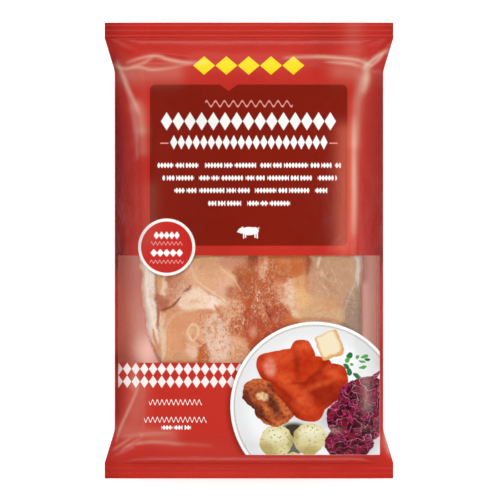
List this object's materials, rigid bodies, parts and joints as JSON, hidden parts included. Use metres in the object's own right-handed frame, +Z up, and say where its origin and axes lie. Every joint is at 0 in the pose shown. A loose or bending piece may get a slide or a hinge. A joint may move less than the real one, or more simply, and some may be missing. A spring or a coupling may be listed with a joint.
{
  "type": "film pack of raw pork knuckle",
  "caption": "Sealed printed film pack of raw pork knuckle with crimped ends, a clear front window and a flat back.",
  "frame": {"origin": "middle of the flat base that the pack lies on", "axes": "+Y along the pack towards its top end, +X to the right of the printed front, +Z up out of the printed front"},
  "size_m": [0.1622, 0.256, 0.0424],
  "materials": {
    "printed_film": "red printed polyethylene film with a soft gloss, crimped at both ends",
    "clear_film": "the same film left unprinted and clear over the front window, faintly hazy",
    "raw_pork": "wet raw pork: pale fat and rind, orange-red lean meat with pale fibres and dark creases"
  },
  "bodies": {
    "root": {"film_pack": "printed_film"}
  },
  "joints": []
}
